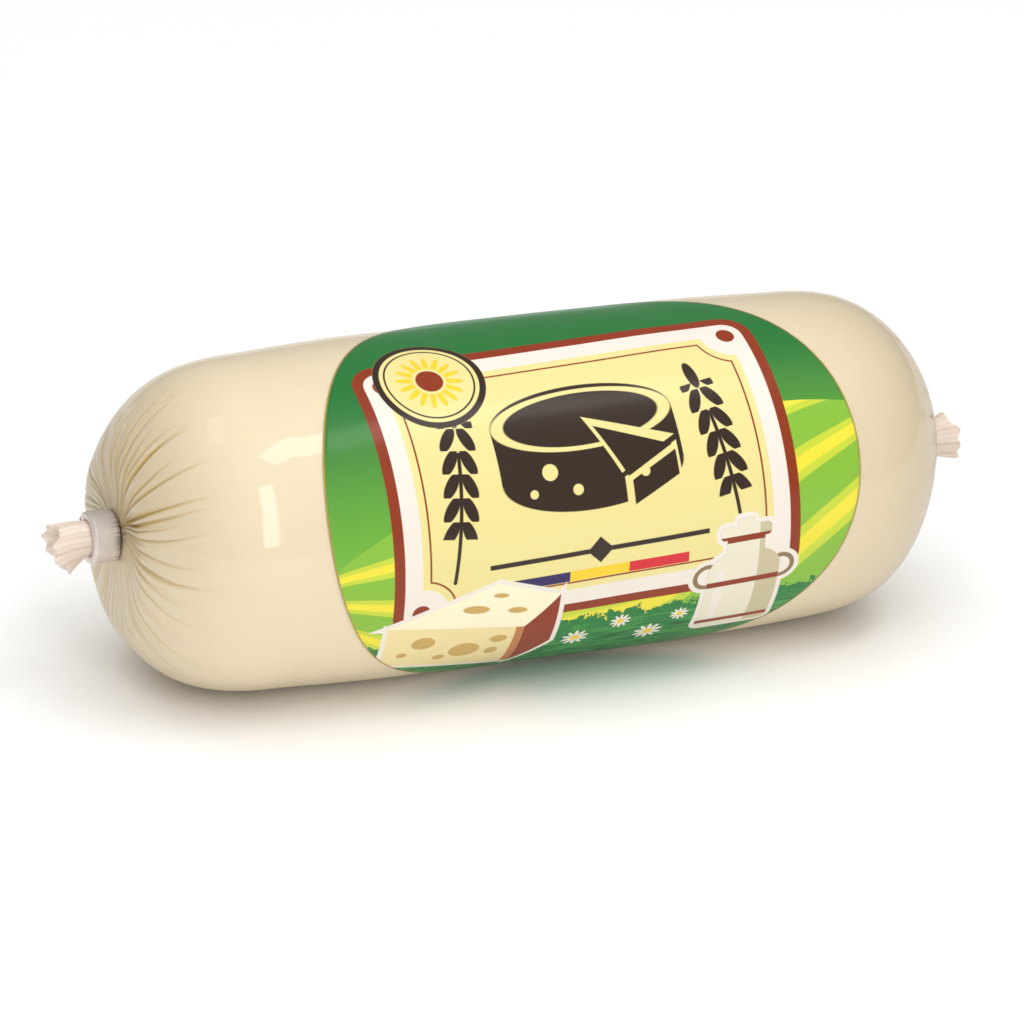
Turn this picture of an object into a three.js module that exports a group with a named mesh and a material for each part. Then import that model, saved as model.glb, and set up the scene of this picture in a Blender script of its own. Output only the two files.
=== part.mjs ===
// A chub of soft kneaded cheese: a clear plastic casing filled tight with cheese, gathered and
// closed by an aluminium clip at both ends, with a round self-adhesive label wrapped over its front.
// Millimetres, +Z up. The chub lies on its side along X, the label faces -Y and the floor is Z = 0.
// The origin is on the floor, under the middle of the overall length.
// Lengths called "reach" run outwards from the middle, towards the end they belong to.
import * as THREE from 'three';
import { mergeVertices } from 'three/addons/utils/BufferGeometryUtils.js';

// Body
const bodyRadius = 30;
const flatHalfWidth = 5; // the strip on which the chub lies, where its shoulders are
const axisHeight = Math.sqrt(bodyRadius ** 2 - flatHalfWidth ** 2);
const crown = 0.87; // how much the radius swells from the shoulders to the middle
const crownCentre = 2;
const crownHalfLength = 52.9;
const crownPower = 6; // the higher, the more of the body is straight
const bodyBands = 5; // between the two shoulders
const clearance = 0.3; // between pieces that touch

// Film, where it is gathered
const pleatCount = 30;
const stepsPerPleat = 4;
const angleSteps = pleatCount * stepsPerPleat;
const pleatJitter = 0.7; // how far a pleat strays from even spacing, as a share of the spacing
const pleatDepthSpread = { least: 0.55, most: 1.45 };
const pleatRoom = 0.3; // the deepest that crowded pleats get, as a share of their spacing
const pleatFade = 0.45; // share of its run at which a pleat starts to die away
const valleySharpness = 1.3;

// Neck inside the clip, and the film's tail beyond it
const neckRadius = 3;
const neckCollar = { from: 6, to: 14 }; // radii between which the film leads over to the cap's own axis
const neckFlute = 0.18;
const tailFlute = 0.35;
const tailSteps = [0.3, 0.65, 1]; // rings of the tail, as shares of its length
const tailSwell = 0.45; // share of its spread that a tail gains half way along
const notchDepth = 1.1; // how far the cut edge steps back between two petals
const notchPinch = 0.35; // and how far it pulls in
const funnelShare = 0.5; // the cut end is hollow: the size of the ring half way down it
const funnelFloor = 2.2; // how far beyond the clip the hollow's middle lies

// Clips: flat aluminium wire bent round the neck until its two ends meet
const clipWidth = 5;
const clipRadius = 4.6;
const clipBore = neckRadius + clearance;
const clipEdge = 0.5;
const clipSquareness = 2.25; // 2 would be a circle, more is a rounded square
const clipJoint = 0.3; // slit between the wire's two ends
const clipJointAngle = 140; // degrees round the neck, where the slit lies

// Label
const labelRadius = 51.2;
const labelThickness = 0.25;
const labelCentreX = 4.05;
const labelCentreRise = 13.2; // along the surface, up from the middle of the front
const labelBend = bodyRadius + crown + clearance; // its inner face, round the axis
const labelColumns = 6;
const labelRows = 52;
const shortestChord = 0.04; // the outline stops this angle short of a chord of no width

// The two ends. A cap starts at the end of the straight body and bulges to a virtual pole.
// The powers set how square its shoulder is, and the flat face cuts its tip off.
const leftEnd = {
  side: -1, poleReach: 81.86, capLength: 38.9, lengthPower: 3.84, roundPower: 1.24,
  axisLift: -0.85, bendPower: 1.5, neckRise: 0.57,
  faceReach: 76.7, faceBlend: 1.2, dimpleDepth: 0.9, dimpleRadius: 6, clipReach: 76.35,
  pleatDepth: 0.75, pleatShortest: 15, pleatLongest: 38, seed: 7,
  petals: [
    { angle: -110, out: 4.9, along: 4.5 }, { angle: -62, out: 5.3, along: 3.8 },
    { angle: -18, out: 4.2, along: 7.1 }, { angle: 28, out: 3.7, along: 7.4 },
    { angle: 78, out: 3.9, along: 5.4 }, { angle: 130, out: 4.2, along: 6.6 },
    { angle: 172, out: 4, along: 7.1 }, { angle: 212, out: 4.4, along: 6.2 },
  ],
};
const rightEnd = {
  side: 1, poleReach: 83.47, capLength: 39, lengthPower: 4.22, roundPower: 1,
  axisLift: 4.44, bendPower: 3.78, neckRise: -0.26,
  faceReach: 79.9, faceBlend: 1.4, dimpleDepth: 3.3, dimpleRadius: 5, clipReach: 77.5,
  pleatDepth: 0.4, pleatShortest: 7, pleatLongest: 30, seed: 23,
  petals: [
    { angle: -96, out: 4.7, along: 5.8 }, { angle: -50, out: 4.4, along: 6.05 },
    { angle: -5, out: 4, along: 5.7 }, { angle: 40, out: 4.1, along: 5.8 },
    { angle: 92, out: 4.9, along: 3.6 }, { angle: 150, out: 4.1, along: 5.2 },
    { angle: 205, out: 4.2, along: 5.8 },
  ],
};
const capBands = 12;

const cheeseLook = { color: 0xebdcbd, roughness: 0.25, metalness: 0 };
const clipLook = { color: 0xb9b6b4, roughness: 0.4, metalness: 0.9 };
const labelLook = { color: 0x5d9e34, roughness: 0.35, metalness: 0 };

function seededRandom(seed) {
  let state = seed;
  return () => {
    state = (state + 0x6d2b79f5) | 0;
    let mixed = Math.imul(state ^ (state >>> 15), 1 | state);
    mixed = (mixed + Math.imul(mixed ^ (mixed >>> 7), 61 | mixed)) ^ mixed;
    return ((mixed ^ (mixed >>> 14)) >>> 0) / 2 ** 32;
  };
}

function smoothMin(a, b, blend) {
  const overlap = Math.max(blend - Math.abs(a - b), 0) / blend;
  return Math.min(a, b) - (overlap * overlap * blend) / 4;
}

// How far towards its pole a place on a cap is: 0 at the straight body, 1 at the virtual pole.
function capShare(end, reach) {
  return THREE.MathUtils.clamp(1 - (end.poleReach - reach) / end.capLength, 0, 1);
}

function hullRadius(end, reach) {
  return bodyRadius * (1 - capShare(end, reach) ** end.lengthPower) ** (1 / end.roundPower);
}

// The cap's surface as reach over radius: the bulging hull, cut by the dimpled face.
function capReach(end, radius) {
  const round = 1 - Math.min(radius / bodyRadius, 1) ** end.roundPower;
  const hull = end.poleReach - end.capLength * (1 - round ** (1 / end.lengthPower));
  const fromNeck = (radius - neckRadius) / end.dimpleRadius;
  const face = end.faceReach - end.dimpleDepth * Math.exp(-fromNeck * fromNeck);
  return smoothMin(hull, face, end.faceBlend);
}

// The direction straight out of the cap's surface, as reach and radius.
function capNormal(end, radius) {
  const nearby = 0.1;
  const inner = Math.max(radius - nearby, neckRadius);
  const outer = Math.min(radius + nearby, bodyRadius);
  const slope = (capReach(end, outer) - capReach(end, inner)) / (outer - inner);
  return new THREE.Vector2(1, -slope).normalize();
}

// The axis bends a little towards each end, because the soft filling settles, and the neck
// leaves the end face off its middle.
function axisRise(end, reach, radius) {
  const bend = end.axisLift * capShare(end, Math.min(reach, end.clipReach)) ** end.bendPower;
  const offNeck = THREE.MathUtils.smoothstep(radius, neckCollar.from, neckCollar.to);
  return THREE.MathUtils.lerp(end.neckRise, bend, offNeck);
}

// How much fatter the body is at a place along X than at its shoulders.
function crownRise(along) {
  const share = Math.min(Math.abs(along - crownCentre) / crownHalfLength, 1);
  return crown * (1 - share ** crownPower) ** 2;
}

// Points along the cap from neck to shoulder, at even steps along its surface.
function capStations(end) {
  const fine = 400;
  const curve = [];
  for (let i = 0; i <= fine; i += 1) {
    const angle = THREE.MathUtils.lerp(Math.asin(neckRadius / bodyRadius), Math.PI / 2, i / fine);
    const radius = bodyRadius * Math.sin(angle);
    curve.push(new THREE.Vector2(capReach(end, radius), radius));
  }
  const travelled = [0];
  for (let i = 1; i <= fine; i += 1) travelled.push(travelled[i - 1] + curve[i].distanceTo(curve[i - 1]));
  const stations = [];
  for (let band = 0; band <= capBands; band += 1) {
    const goal = (travelled[fine] * band) / capBands;
    const at = curve[Math.max(travelled.findIndex((length) => length >= goal - 1e-6), 0)];
    stations.push({ kind: 'cap', end, reach: at.x, radius: at.y, run: goal });
  }
  return stations;
}

// Points along the straight body, from the right shoulder to the left one, without the shoulders.
function bodyStations() {
  const right = rightEnd.poleReach - rightEnd.capLength;
  const left = leftEnd.capLength - leftEnd.poleReach;
  const stations = [];
  for (let band = 1; band < bodyBands; band += 1) {
    const along = THREE.MathUtils.lerp(right, left, band / bodyBands);
    const end = along < 0 ? leftEnd : rightEnd;
    stations.push({ kind: 'body', end, reach: Math.abs(along), radius: bodyRadius });
  }
  return stations;
}

function tailStations(end) {
  const clipEnd = end.clipReach + clipWidth;
  const rings = tailSteps.map((share) => ({ kind: 'tail', end, reach: clipEnd, radius: neckRadius, share }));
  return [
    { kind: 'pole', end, reach: clipEnd + funnelFloor, radius: 0 },
    { kind: 'funnel', end, reach: clipEnd, radius: neckRadius, share: funnelShare },
    ...rings.reverse(),
    { kind: 'neck', end, reach: clipEnd + clearance, radius: neckRadius },
    { kind: 'neck', end, reach: end.clipReach + clipWidth / 2, radius: neckRadius },
  ];
}

// The cut edge of the tail at an angle in degrees: petals of film with notches between them.
function tailEdge(end, angle) {
  const from = end.petals[0].angle;
  const turned = from + THREE.MathUtils.euclideanModulo(angle - from, 360);
  const before = end.petals.findLast((petal) => petal.angle <= turned);
  const after = end.petals.find((petal) => petal.angle > turned) ?? { ...end.petals[0], angle: from + 360 };
  const share = (turned - before.angle) / (after.angle - before.angle);
  const notch = Math.sin(Math.PI * share) ** 2;
  return {
    out: THREE.MathUtils.lerp(before.out, after.out, share) - notchPinch * notch,
    along: THREE.MathUtils.lerp(before.along, after.along, share) - notchDepth * notch,
  };
}

// Every pleat has its own place, depth and length.
function gather(end) {
  const random = seededRandom(end.seed);
  const between = (least, most) => THREE.MathUtils.lerp(least, most, random());
  const pleats = [];
  for (let i = 0; i < pleatCount; i += 1) {
    pleats.push({
      angle: ((i + between(-0.5, 0.5) * pleatJitter) / pleatCount) * 2 * Math.PI,
      depth: end.pleatDepth * between(pleatDepthSpread.least, pleatDepthSpread.most),
      runsTo: between(end.pleatShortest, end.pleatLongest),
    });
  }
  return pleats;
}

const gathers = new Map([[leftEnd, gather(leftEnd)], [rightEnd, gather(rightEnd)]]);

// A step of the angular grid as the two pleats it lies between and its share of the way.
function betweenPleats(end, step) {
  const pleats = gathers.get(end);
  const index = Math.floor(step / stepsPerPleat) % pleatCount;
  const share = (step % stepsPerPleat) / stepsPerPleat;
  return { before: pleats[index], after: pleats[(index + 1) % pleatCount], share };
}

// Angles go round the axis from the front (-Y), up over the top (+Z).
function pleatAngle(end, step) {
  const { before, after, share } = betweenPleats(end, step);
  const next = after.angle < before.angle ? after.angle + 2 * Math.PI : after.angle;
  return THREE.MathUtils.lerp(before.angle, next, share);
}

// The grid follows the pleats on each cap and turns from one set to the other along the body.
function gridAngle(station, step) {
  const left = pleatAngle(leftEnd, step);
  let right = pleatAngle(rightEnd, step);
  if (right - left > Math.PI) right -= 2 * Math.PI;
  if (left - right > Math.PI) right += 2 * Math.PI;
  const along = station.end.side * station.reach;
  const leftShoulder = leftEnd.capLength - leftEnd.poleReach;
  const rightShoulder = rightEnd.poleReach - rightEnd.capLength;
  return THREE.MathUtils.lerp(left, right, THREE.MathUtils.smoothstep(along, leftShoulder, rightShoulder));
}

// A pleat is a sharp valley between two round ridges: 1 in the valley, 0 on a ridge.
function valley(share) {
  return Math.max(1 - 2 * share, 0) ** valleySharpness;
}

// Near the neck the pleats crowd, so they are as deep as there is room for between them.
function foldDepth(pleat, station) {
  const room = (pleatRoom * 2 * Math.PI * station.radius) / pleatCount;
  const faded = THREE.MathUtils.smoothstep(station.run, pleat.runsTo * pleatFade, pleat.runsTo);
  return Math.min(pleat.depth, room) * (1 - faded);
}

function surfacePoint(station, step) {
  const { end, kind } = station;
  const { before, after, share } = betweenPleats(end, step);
  const fold = Math.max(valley(share), valley(1 - share));
  let { reach, radius } = station;
  if (kind === 'cap') {
    const depth = foldDepth(before, station) * valley(share) + foldDepth(after, station) * valley(1 - share);
    const outwards = capNormal(end, radius);
    reach -= depth * outwards.x;
    radius -= depth * outwards.y;
  }
  if (kind === 'neck') radius -= neckFlute * fold;
  const angle = gridAngle(station, step);
  if (kind === 'tail' || kind === 'funnel') {
    const edge = tailEdge(end, THREE.MathUtils.radToDeg(angle));
    reach += clearance + (edge.along - clearance) * station.share;
    radius = kind === 'tail' ? tailSpread(edge, station.share) : edge.out * station.share;
    radius -= tailFlute * fold * station.share;
  }
  return onAxis(end, reach, radius, angle);
}

// The tail opens from the clip's bore to its cut edge, the faster the nearer it is to that edge.
function tailSpread(edge, share) {
  const gained = 2 * tailSwell * share * (1 - share) + share * share;
  return THREE.MathUtils.lerp(neckRadius, edge.out, gained);
}

// A place given by its reach, distance from the axis and angle, with the underside pressed flat.
function onAxis(end, reach, radius, angle) {
  const along = end.side * reach;
  const swollen = radius + crownRise(along);
  const height = axisHeight + axisRise(end, reach, radius) + swollen * Math.sin(angle);
  return new THREE.Vector3(along, -swollen * Math.cos(angle), Math.max(height, 0));
}

// Leaves one vertex for each place and drops the triangles that this closes up.
function closeSurface(geometry) {
  geometry.deleteAttribute('normal');
  geometry.deleteAttribute('uv');
  const merged = mergeVertices(geometry, 1e-4);
  const corners = merged.index.array;
  const kept = [];
  for (let i = 0; i < corners.length; i += 3) {
    const [a, b, c] = [corners[i], corners[i + 1], corners[i + 2]];
    if (a !== b && b !== c && c !== a) kept.push(a, b, c);
  }
  merged.setIndex(kept);
  merged.computeVertexNormals();
  return merged;
}

function buildCasing() {
  const stations = [
    ...tailStations(rightEnd), ...capStations(rightEnd), ...bodyStations(),
    ...capStations(leftEnd).reverse(), ...tailStations(leftEnd).reverse(),
  ];
  const profile = stations.map(({ end, reach, radius }) => new THREE.Vector2(radius, end.side * reach));
  const geometry = new THREE.LatheGeometry(profile, angleSteps);
  const places = geometry.attributes.position;
  for (let step = 0; step <= angleSteps; step += 1) {
    stations.forEach((station, row) => {
      const { x, y, z } = surfacePoint(station, step % angleSteps);
      places.setXYZ(step * stations.length + row, x, y, z);
    });
  }
  return closeSurface(geometry);
}

// The wire's outline as seen along the neck: nearly a full turn, with a slit where its ends meet.
function buildClip(end) {
  const joint = THREE.MathUtils.degToRad(clipJointAngle);
  const halfSlit = clipJoint / (clipBore + clipRadius);
  const outline = new THREE.Shape();
  outline.absarc(0, 0, clipRadius, joint + halfSlit, joint - halfSlit + 2 * Math.PI, false);
  outline.absarc(0, 0, clipBore, joint - halfSlit + 2 * Math.PI, joint + halfSlit, true);
  const geometry = new THREE.ExtrudeGeometry(outline, {
    depth: clipWidth - 2 * clipEdge, curveSegments: 20, steps: 1,
    bevelThickness: clipEdge, bevelSize: clipEdge, bevelOffset: -clipEdge, bevelSegments: 2,
  });
  squareOff(geometry);
  geometry.translate(0, 0, clipEdge);
  geometry.rotateX(Math.PI / 2);
  geometry.rotateZ((end.side * Math.PI) / 2);
  const place = onAxis(end, end.clipReach, 0, 0);
  geometry.translate(place.x, place.y, place.z);
  return closeSurface(geometry);
}

// Pushes the outside of the ring towards a rounded square and leaves the bore round.
function squareOff(geometry) {
  const places = geometry.attributes.position;
  for (let i = 0; i < places.count; i += 1) {
    const across = places.getX(i);
    const up = places.getY(i);
    const radius = Math.hypot(across, up);
    const turn = Math.atan2(up, across);
    const sum = Math.abs(Math.cos(turn)) ** clipSquareness + Math.abs(Math.sin(turn)) ** clipSquareness;
    const outward = THREE.MathUtils.clamp((radius - clipBore) / (clipRadius - clipBore), 0, 1);
    const scale = THREE.MathUtils.lerp(1, sum ** (-1 / clipSquareness), outward);
    places.setXY(i, across * scale, up * scale);
  }
}

// A round disc bent over the body: the box's rows become chords of the disc, one above another.
function buildLabel() {
  const geometry = new THREE.BoxGeometry(2, 2, 1, labelColumns, labelRows, 1);
  const places = geometry.attributes.position;
  const lastChord = Math.PI / 2 - shortestChord;
  for (let i = 0; i < places.count; i += 1) {
    const chord = places.getY(i) * lastChord;
    const x = labelCentreX + labelRadius * Math.cos(chord) * places.getX(i);
    const rise = labelCentreRise + labelRadius * Math.sin(chord);
    const end = x < 0 ? leftEnd : rightEnd;
    const above = clearance + labelThickness * (places.getZ(i) + 0.5);
    const radius = hullRadius(end, Math.abs(x)) + above;
    const place = onAxis(end, Math.abs(x), radius, rise / labelBend);
    places.setXYZ(i, place.x, place.y, place.z);
  }
  return closeSurface(geometry);
}

function piece(name, geometry, look) {
  const mesh = new THREE.Mesh(geometry, new THREE.MeshStandardMaterial(look));
  mesh.name = name;
  return mesh;
}

const chub = new THREE.Group();
chub.add(piece('casing', buildCasing(), cheeseLook));
chub.add(piece('clip_left', buildClip(leftEnd), clipLook));
chub.add(piece('clip_right', buildClip(rightEnd), clipLook));
chub.add(piece('label', buildLabel(), labelLook));

export default chub;
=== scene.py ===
"""The looks of a clipped chub of kneaded cheese, built round its solid model.

The chub lies along X with its label facing -Y, and the floor is Z = 0. Blender works in metres.
The sizes below are in millimetres, and put() turns them to metres when a mesh is placed.
A "reach" runs outwards along X from the middle, towards the end that it belongs to.
A "run" is the way along the film's surface, outwards from the neck of that end.
An angle goes round the axis from the front (-Y), up over the top (+Z).
"""

import math
import random
from types import SimpleNamespace

import bmesh
import bpy
import numpy as np
from bpy.props import FloatProperty, FloatVectorProperty, PointerProperty
from mathutils import Matrix, Quaternion, Vector


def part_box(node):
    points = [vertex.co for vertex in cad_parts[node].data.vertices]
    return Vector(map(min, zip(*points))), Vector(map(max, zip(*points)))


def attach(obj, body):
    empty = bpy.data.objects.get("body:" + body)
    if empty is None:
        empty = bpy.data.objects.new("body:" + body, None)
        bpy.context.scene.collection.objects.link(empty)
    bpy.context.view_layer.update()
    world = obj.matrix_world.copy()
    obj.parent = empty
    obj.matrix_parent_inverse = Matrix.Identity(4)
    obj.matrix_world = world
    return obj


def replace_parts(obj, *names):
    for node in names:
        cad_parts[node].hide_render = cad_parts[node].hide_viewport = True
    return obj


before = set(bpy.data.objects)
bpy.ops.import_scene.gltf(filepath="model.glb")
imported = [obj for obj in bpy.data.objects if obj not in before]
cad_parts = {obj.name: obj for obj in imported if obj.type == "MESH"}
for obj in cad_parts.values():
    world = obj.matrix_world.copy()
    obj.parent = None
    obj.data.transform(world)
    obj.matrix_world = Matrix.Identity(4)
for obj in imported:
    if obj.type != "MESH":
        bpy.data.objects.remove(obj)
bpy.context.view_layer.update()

bl_info = {
    "name": "Clipped Cheese Chub",
    "version": (1, 0, 0),
    "blender": (4, 5, 0),
    "location": "View3D > Sidebar > Chub",
    "description": "Adds a chub of kneaded cheese in a clipped clear casing, with its label and stage",
    "category": "Add Mesh",
}

MM = 0.001
FULL_TURN = 2 * math.pi


def box_mm(node):
    """The lowest and highest corner of a solid of the frame, in millimetres."""
    low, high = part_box(node)
    return np.array(low) / MM, np.array(high) / MM


CASING_LOW, CASING_HIGH = box_mm("casing")
LABEL_LOW, LABEL_HIGH = box_mm("label")

# Body
CROWN = 0.87  # how much the radius swells from the shoulders to the middle
CROWN_CENTRE = 2.0
CROWN_HALF_LENGTH = 52.9
CROWN_POWER = 6  # the higher, the more of the body is straight
BODY_RADIUS = (CASING_HIGH[1] - CASING_LOW[1]) / 2 - CROWN
FLAT_HALF_WIDTH = 5.0  # the strip on which the chub lies, where its shoulders are
AXIS_HEIGHT = math.sqrt(BODY_RADIUS**2 - FLAT_HALF_WIDTH**2)
NECK_RADIUS = 3.0
NECK_COLLAR = (6.0, 14.0)  # radii between which the film leads over to the cap's own axis
UNEVENNESS = 0.07  # height of the longest wave in the tight film
FILM_WAVES = (  # pace along X, how many close round the body, phase, and share of the height
    (0.045, 2, 0.3, 1.0), (0.11, 3, 1.9, 0.7), (0.19, 5, 4.1, 0.45),
    (0.31, 4, 2.6, 0.3), (0.05, 7, 5.0, 0.3),
)
FLOOR_GAP = 0.03
DRAWN_TO = math.radians(45)  # the pleats of an end lean towards this side of its neck
CROWDED_AT = math.radians(105)  # and crowd on this side of it
PUCKER_PLACE = 0.85  # share of a pleat's run at which the film puckers
PUCKER_LENGTH = 1.5
PUCKER_WIDTH = 0.9
LOOSE_TO_CROWDED = (-0.7, 0.6)  # cosines of the angle from the crowded side
SHARP_FLANK = 0.45  # width of a pleat's sharper flank, as a share of the other's
TIP_WIDTH = 0.25  # width of a pleat where it runs out, as a share of its full width
VALLEY_ROUNDING = 0.6
FADES_FROM = 0.35  # share of a pleat's run at which it starts to get shallower
WIDEST, DEEPEST, DEEPEST_JOINED = 0.6, 0.45, 0.6  # as shares of the pleats' spacing
FULL_FOLD = 0.6  # a fold this deep counts as 1 in the materials
WAVY_FROM = 0.6  # share of the body's radius from which the film has its full waves

# Mesh of the casing
CASING_STEPS = 660
SPIN_CUTS = 6  # a spin slows with its steps, so each is cut into this many afterwards
CAP_ROWS = 56
CAP_SAMPLES = 800
CAP_CROWDING = 1.15  # above 1, the rows of a cap lie closer together near its neck
CAP_RUN = 70.0  # more than any cap's surface runs
BODY_ROWS = 26
BODY_RUN = 1000.0  # stands for the run of the straight body, which no pleat reaches

# Film tail beyond each clip, and the clip's bent wire
TAIL_STEPS = 480
TAIL_ROWS = 16
TAIL_WALL = 0.3
TAIL_FLOOR = 1.6  # how far beyond the clip the hollow of the cut end reaches down
TAIL_SWELL = 0.45
TAIL_WAVES = ((9, 0.4), (23, 0.32), (61, 0.28))  # folds round the tail and their share
RUFFLE_AT_CLIP, RUFFLE_GAIN, RUFFLE_CUT = 0.07, 0.17, 0.12  # depth, its growth, and at the cut edge
HOLLOW_NARROWING, HOLLOW_POWER = 0.85, 0.8
NOTCH_DEPTH = 0.6
NOTCH_PINCH = 0.25
CLIP_STEPS = 240
CLIP_BORE = NECK_RADIUS + 0.15
CLIP_EDGE = 0.55
CLIP_EDGE_SEGMENTS = 6
CLIP_FLAT_CUTS = 24
CLIP_SQUARENESS = 2.25  # 2 would be a circle, more is a rounded square
CLIP_JOINT = math.radians(140)
CLIP_SLIT = math.radians(4.5)
# Where the die has dragged the wire, in degrees round the clip
DRAG_ANGLES = (29, 21, 17, 13, 9, 5.5, 2, -3, -9, 43, 52, 66, -30, -48, 118, 203, 236)
DRAG_DEPTH = 0.12
DRAG_WIDTH = 0.09
DRAG_LENGTH = 1.9

# Label
LABEL_RADIUS = (LABEL_HIGH[0] - LABEL_LOW[0]) / 2
LABEL_CENTRE_X = (LABEL_HIGH[0] + LABEL_LOW[0]) / 2
LABEL_CENTRE_RISE = 13.2  # along the surface, up from the middle of the front
LABEL_BEND = BODY_RADIUS + CROWN + 0.3  # its inner face, round the axis
LABEL_STEPS = 360
LABEL_ROWS = 60
LABEL_LIFT = 0.05

# The two ends. A cap starts where the straight body ends and bulges to a virtual pole.
# The powers set how square its shoulder is, and a dimpled flat face cuts its tip off.
# A petal of a tail is its angle in degrees, and how far its tip lies out of the axis
# and along it from the clip. A crease is a long pleat: its angle in degrees, its run and depth.
# The film is gathered as far as the gather run.
LEFT = SimpleNamespace(
    name="left", side=-1, pole_reach=81.86, cap_length=38.9, length_power=3.84, round_power=1.24,
    axis_lift=-0.85, bend_power=1.5, neck_rise=0.57, droop=0.9,
    face_reach=76.7, face_blend=1.2, dimple_depth=0.45, dimple_radius=6.0,
    pleats=54, pleat_depth=0.6, pleat_least=12.0, pleat_most=31.0, seed=7, lean=0.36, loose=0.6,
    gather_run=40,
    creases=[
        (94, 31, 0.5), (86, 32, 0.5), (70, 31, 0.55), (50, 31.5, 0.6), (39, 30, 0.7), (33, 29, 0.6),
        (1, 30, 0.8), (-8, 24, 0.7), (-28, 21, 0.5), (-38, 30, 0.7), (-49, 26, 0.5), (17, 18, 0.5),
    ],
    petals=[
        (-110, 4.9, 4.5), (-62, 5.3, 3.8), (-18, 4.2, 7.1), (28, 3.7, 7.4),
        (78, 3.9, 5.4), (130, 4.2, 6.6), (172, 4.0, 7.1), (212, 4.4, 6.2),
    ],
)
RIGHT = SimpleNamespace(
    name="right", side=1, pole_reach=83.47, cap_length=39.0, length_power=4.22, round_power=1.0,
    axis_lift=4.44, bend_power=3.78, neck_rise=-0.26, droop=0.0,
    face_reach=79.9, face_blend=1.4, dimple_depth=3.3, dimple_radius=5.0,
    pleats=34, pleat_depth=0.4, pleat_least=7.0, pleat_most=22.0, seed=23, lean=0.0, loose=0.0,
    gather_run=62,
    creases=[(76, 25, 0.6), (45, 22, 0.4), (32, 26, 0.55), (7, 25, 0.35), (-20, 28, 0.5)],
    petals=[
        (-96, 4.7, 5.8), (-50, 4.4, 6.05), (-5, 4.0, 5.7), (40, 4.1, 5.8),
        (92, 4.9, 3.6), (150, 4.1, 5.2), (205, 4.2, 5.8),
    ],
)
ENDS = (LEFT, RIGHT)
for one_end in ENDS:
    clip_low, clip_high = box_mm(f"clip_{one_end.name}")
    one_end.clip_reach = min(abs(clip_low[0]), abs(clip_high[0]))
    one_end.clip_width = clip_high[0] - clip_low[0]
    one_end.clip_radius = (clip_high[1] - clip_low[1]) / 2


# ---------------------------------------------------------------- form of the casing

def smoothstep(value, low, high):
    share = np.clip((value - low) / (high - low), 0, 1)
    return share * share * (3 - 2 * share)


def smooth_min(a, b, blend):
    overlap = np.maximum(blend - np.abs(a - b), 0) / blend
    return np.minimum(a, b) - overlap * overlap * blend / 4


def cap_share(end, reach):
    """0 where the straight body ends, 1 at the virtual pole."""
    return np.clip(1 - (end.pole_reach - reach) / end.cap_length, 0, 1)


def hull_radius(end, reach):
    return BODY_RADIUS * (1 - cap_share(end, reach) ** end.length_power) ** (1 / end.round_power)


def cap_reach(end, radius):
    """The cap's surface as reach over radius: the bulging hull, cut by the dimpled face."""
    rounding = 1 - np.minimum(radius / BODY_RADIUS, 1) ** end.round_power
    hull = end.pole_reach - end.cap_length * (1 - rounding ** (1 / end.length_power))
    face = end.face_reach - end.dimple_depth * np.exp(-(((radius - NECK_RADIUS) / end.dimple_radius) ** 2))
    return smooth_min(hull, face, end.face_blend)


def axis_rise(end, reach, radius):
    """The axis bends towards each end, and the neck leaves the end face off its middle."""
    bend = end.axis_lift * cap_share(end, np.minimum(reach, end.clip_reach)) ** end.bend_power
    return end.neck_rise + (bend - end.neck_rise) * smoothstep(radius, *NECK_COLLAR)


def crown_rise(along):
    """How much fatter the body is at a place along X than at its shoulders."""
    share = np.minimum(np.abs(along - CROWN_CENTRE) / CROWN_HALF_LENGTH, 1)
    return CROWN * (1 - share**CROWN_POWER) ** 2


def unevenness(along, angle):
    """How far the film lies off its true surface: long, shallow waves that close round the body."""
    total = 0
    for pace, turns, phase, size in FILM_WAVES:
        total = total + size * np.sin(pace * along + turns * angle + phase)
    return UNEVENNESS * total


def put(side, reach, radius, angle, least_height=FLOOR_GAP):
    """Places given by end, reach, distance from the axis and angle, with the underside pressed flat."""
    rise = np.where(side < 0, axis_rise(LEFT, reach, radius), axis_rise(RIGHT, reach, radius))
    swollen = radius + crown_rise(side * reach)
    height = AXIS_HEIGHT + rise + swollen * np.sin(angle)
    places = np.stack([side * reach, -swollen * np.cos(angle), np.maximum(height, least_height)], axis=-1)
    return places * MM


def cap_rows(end):
    """Rows of the cap from its neck to its shoulder, closer together near the neck."""
    turn = np.linspace(math.asin(NECK_RADIUS / BODY_RADIUS), math.pi / 2, CAP_SAMPLES)
    radius = BODY_RADIUS * np.sin(turn)
    reach = cap_reach(end, radius)
    run = np.concatenate([[0], np.cumsum(np.hypot(np.diff(reach), np.diff(radius)))])
    wanted = run[-1] * np.linspace(0, 1, CAP_ROWS) ** CAP_CROWDING
    rows = np.zeros((CAP_ROWS, 4))
    rows[:, 0] = end.side
    rows[:, 1] = np.interp(wanted, run, reach)
    rows[:, 2] = np.interp(wanted, run, radius)
    rows[:, 3] = wanted
    return rows


def body_rows():
    """Rows of the straight body between the two shoulders, which the caps have already."""
    first = LEFT.cap_length - LEFT.pole_reach
    last = RIGHT.pole_reach - RIGHT.cap_length
    rows = np.zeros((BODY_ROWS, 4))
    along = np.linspace(first, last, BODY_ROWS + 2)[1:-1]
    rows[:, 0] = np.where(along < 0, -1, 1)
    rows[:, 1] = np.abs(along)
    rows[:, 2] = BODY_RADIUS
    rows[:, 3] = BODY_RUN
    return rows


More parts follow.
